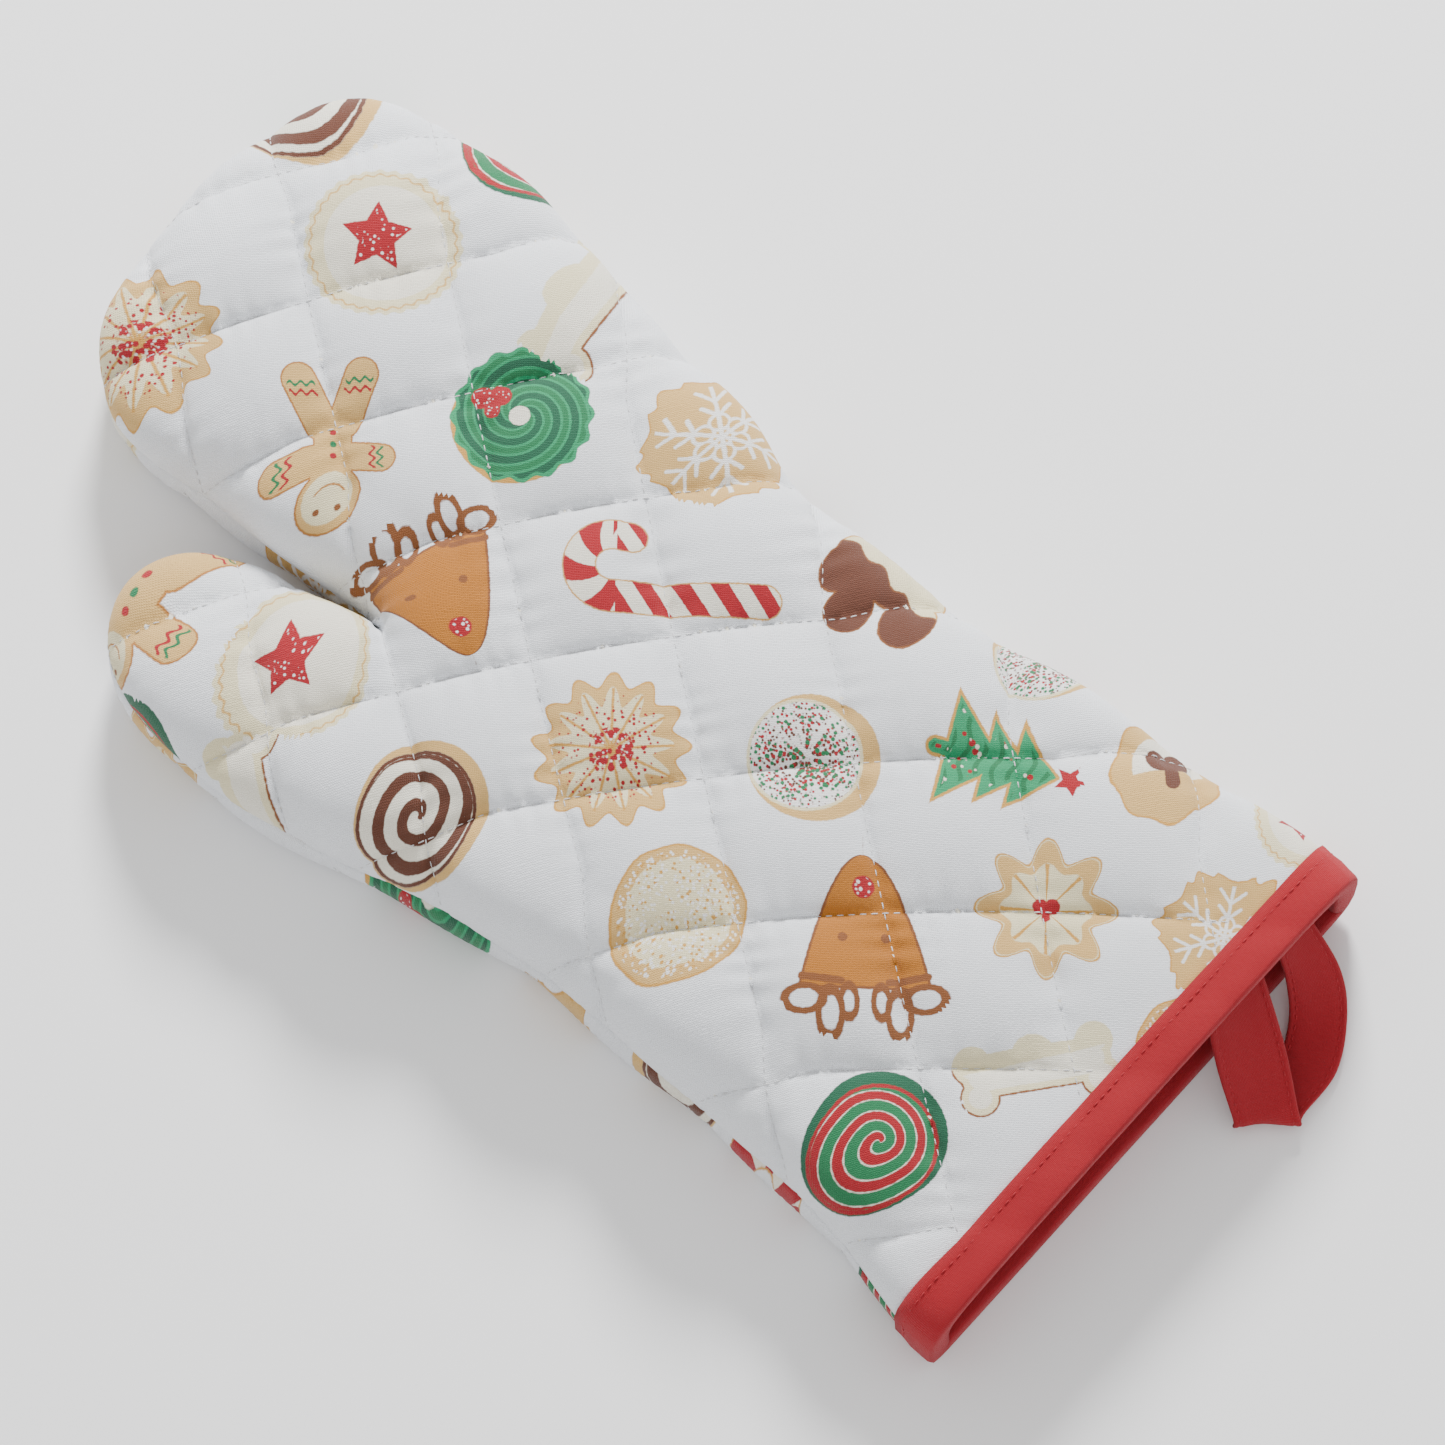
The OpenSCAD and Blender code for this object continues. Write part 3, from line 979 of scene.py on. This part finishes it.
bindingCloth = clothMaterial("bindingTape", ground="red", pitch=0.55, turned=pi / 4, sheen=0.06)
loopCloth = clothMaterial("loopTape", ground="red", pitch=0.55, turned=pi / 4, sheen=0.06)
redThread = threadMaterial("redThread", (0.42, 0.004, 0.014))
# white quilting thread, greyed as painted shade for the shadow in its stitch holes
whiteThread = threadMaterial("whiteThread", (0.74, 0.74, 0.75))

cover, under = bindingSection()
binding = sweptRing("cuffBinding", cover, under, bindingCloth)
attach(binding, "mitt")
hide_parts("cuff_binding")
print("binding folded over the cuff")


# Even steps along a line of points, each with the outward direction there
def stepsAlong(points, ups, pitch, share=0.68):
    run = np.concatenate([[0], np.cumsum(np.linalg.norm(np.diff(points, axis=0), axis=1))])
    count = int(run[-1] / pitch)
    out = []
    for k in range(count):
        ends = [(k + 0.16) * pitch, (k + 0.16 + share) * pitch]
        a, b = (np.array([np.interp(e, run, points[:, c]) for c in range(3)]) for e in ends)
        up = np.array([np.interp(ends[0], run, ups[:, c]) for c in range(3)])
        out.append((a, b, up))
    return out


thread = {"quiltRadius": 0.17, "quiltPitch": 2.75, "tapeRadius": 0.19, "tapePitch": 2.5,
          "offSeam": 1.4, "offBinding": 11.5}
ringY = cuffRing(tape["stitchRow"])
bindingRuns = []
for face in (0, 1):
    up = ringY[2] * (1 - 2 * face)
    line = ringY[face] + up * (tape["gap"] + tape["thick"] - tape["groove"] + 0.12)
    bindingRuns += stepsAlong(np.concatenate([line, line[:1]]), np.concatenate([up, up[:1]]),
                              thread["tapePitch"])
bindingStitches = stitchPiece("bindingStitches", bindingRuns, thread["tapeRadius"], redThread)
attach(bindingStitches, "mitt")
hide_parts("binding_thread")


# The hanging loop's folded tape: its left and right edge, from inside the cuff, round and back
loopEdges = [((24, 2.5, 23.6), (44, 2.5, 21.4)), ((18.5, -6.5, 14.5), (35, -13.5, 13)),
             ((14.5, -15, 5.5), (26, -26.5, 5.3)), ((13.5, -16.5, 3.7), (25, -28.5, 3.7)),
             ((15.5, -15.5, 1.9), (27.5, -27, 1.9)), ((32.5, -13.5, 1.9), (41, -26, 1.9)),
             ((42, -9.5, 4.5), (53, -19, 3.5)), ((47.5, -3.5, 12), (59.5, -10.5, 10)),
             ((50, 2.5, 20.9), (62, 2.5, 19.6))]
ribbon = {"thick": 1.5, "offFloor": 0.4, "stations": 76, "stitchIn": 1.7}


def loopPieces():
    left = smoothLine([e[0] for e in loopEdges], 0.2)
    right = smoothLine([e[1] for e in loopEdges], 0.2)
    knots = np.linspace(0, 1, ribbon["stations"])
    left, right = (np.stack([np.interp(knots, np.linspace(0, 1, len(e)), e[:, k])
                             for k in range(3)], axis=1)
                   for e in (left, right))
    for edge in (left, right):
        edge[:, 2] = np.maximum(edge[:, 2], ribbon["thick"] / 2 + ribbon["offFloor"])
    middle = (left + right) / 2
    way = np.gradient(middle, axis=0)
    across = right - left
    half = np.linalg.norm(right - left, axis=1) / 2
    across /= np.linalg.norm(across, axis=1, keepdims=True)
    up = np.cross(across, way)
    up /= np.linalg.norm(up, axis=1, keepdims=True)
    lane = np.array([-1, -0.97, -0.88, -0.79, -0.7, -0.45, 0, 0.45, 0.7, 0.79, 0.88, 0.97, 1])
    dip = np.array([0.25, 0.8, 1.0, 0.72, 1.0, 0.92, 0.86, 0.92, 1.0, 0.72, 1.0, 0.8, 0.25])
    section = [(l, d) for l, d in zip(lane, dip)] + [(l, -d) for l, d in zip(lane[::-1], dip[::-1])]
    points = np.stack([middle + (across * (half * l)[:, None]) + up * (d * ribbon["thick"] / 2)
                       for l, d in section], axis=1)
    rows, count = points.shape[:2]
    faces = [(r * count + k, r * count + (k + 1) % count,
              (r + 1) * count + (k + 1) % count, (r + 1) * count + k)
             for r in range(rows - 1) for k in range(count)]
    faces += [tuple(range(count - 1, -1, -1)), tuple((rows - 1) * count + k for k in range(count))]
    piece = meshPiece("hangingLoop", points.reshape(-1, 3), faces, loopCloth)
    run = np.concatenate([[0], np.cumsum(np.linalg.norm(np.diff(middle, axis=0), axis=1))])
    flat = np.array([(run[r], section[k][0] * half[r]) for r in range(rows) for k in range(count)])
    addClothMap(piece, flat)
    runs = []
    for hand in (-1, 1):
        for facing in (1, -1):
            line = middle + across * ((half - ribbon["stitchIn"]) * hand)[:, None] \
                + up * facing * (ribbon["thick"] * 0.36 + 0.14)
            runs += stepsAlong(line, up * facing, thread["tapePitch"])
    stitches = stitchPiece("loopStitches", runs, thread["tapeRadius"], redThread)
    return piece, stitches, run[-1]


hangingLoop, loopStitches, loopLength = loopPieces()
for piece, node, slot in ((hangingLoop, "hanging_loop", "binding_tape"),
                          (loopStitches, "loop_thread", "thread")):
    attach(piece, "loop")
    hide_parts(node)
print("loop made, tape length", round(loopLength, 1), "mm")


# Quilting stitches along the rows of both panels
# The row's own number is a function of place, so each start is moved across until it fits
def rowPath(which, number, shift):
    aim = np.array([(1.6, 2.05), (1.57, -2.0)][which])
    aim /= np.linalg.norm(aim)
    across = np.array([aim[1], -aim[0]])
    s = np.arange(-260, 420, 0.6)
    base = np.array([0.0, 150.0])
    p = base + s[:, None] * aim
    for _ in range(14):
        value = quiltRows(p[:, 0] + shift[0], p[:, 1] + shift[1])[which] - number
        ahead = quiltRows(p[:, 0] + shift[0] + across[0], p[:, 1] + shift[1] + across[1])[which] - number
        slope = ahead - value
        slope = np.where(np.abs(slope) < 0.004, 0.004, slope)
        p = p - across * np.clip(value / slope, -40, 40)[:, None]
    value = quiltRows(p[:, 0] + shift[0], p[:, 1] + shift[1])[which] - number
    return p[np.abs(value) < 0.01]


def quiltStitches(side):
    place, _, normal = sides[side]
    farOff = 1e4                        # one last place outside, which ends the last run
    tree = BVHTree.FromPolygons([(x, y, 0) for x, y in cloth.flat], cloth.faces.tolist())
    away, _ = nearestOn(cloth.flat, cloth.edge)
    shift = (0, 0) if side > 0 else backShift
    runs = []
    for which in (0, 1):
        for number in range(-3, 16):
            path = rowPath(which, number, shift)
            spots, ups = [], []
            for x, y in path.tolist() + [[farOff, farOff]]:
                inside = False
                if abs(x) < 120 and thread["offBinding"] < y < 335:
                    found, _, face, gap = tree.find_nearest(Vector((x, y, 0)), 0.4)
                    if found is not None and gap < 0.02:
                        tri = cloth.faces[face]
                        corners = (Vector((*cloth.flat[v], 0)) for v in tri)
                        weights = np.array(geometry.barycentric_transform(
                            Vector((x, y, 0)), *corners, *(Vector(row) for row in np.eye(3).tolist())))
                        if weights @ away[tri] > thread["offSeam"]:
                            inside = True
                            spots.append(weights @ place[tri])
                            ups.append(weights @ normal[tri])
                if not inside:
                    if len(spots) > 8:
                        line = np.array(spots) + np.array(ups) * 0.12
                        runs += stepsAlong(line, np.array(ups), thread["quiltPitch"], 0.7)
                    spots, ups = [], []
    name = "frontQuilting" if side > 0 else "backQuilting"
    piece = stitchPiece(name, runs, thread["quiltRadius"], whiteThread)
    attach(piece, "mitt")
    return len(runs)


print("quilting stitches", quiltStitches(1), quiltStitches(-1))
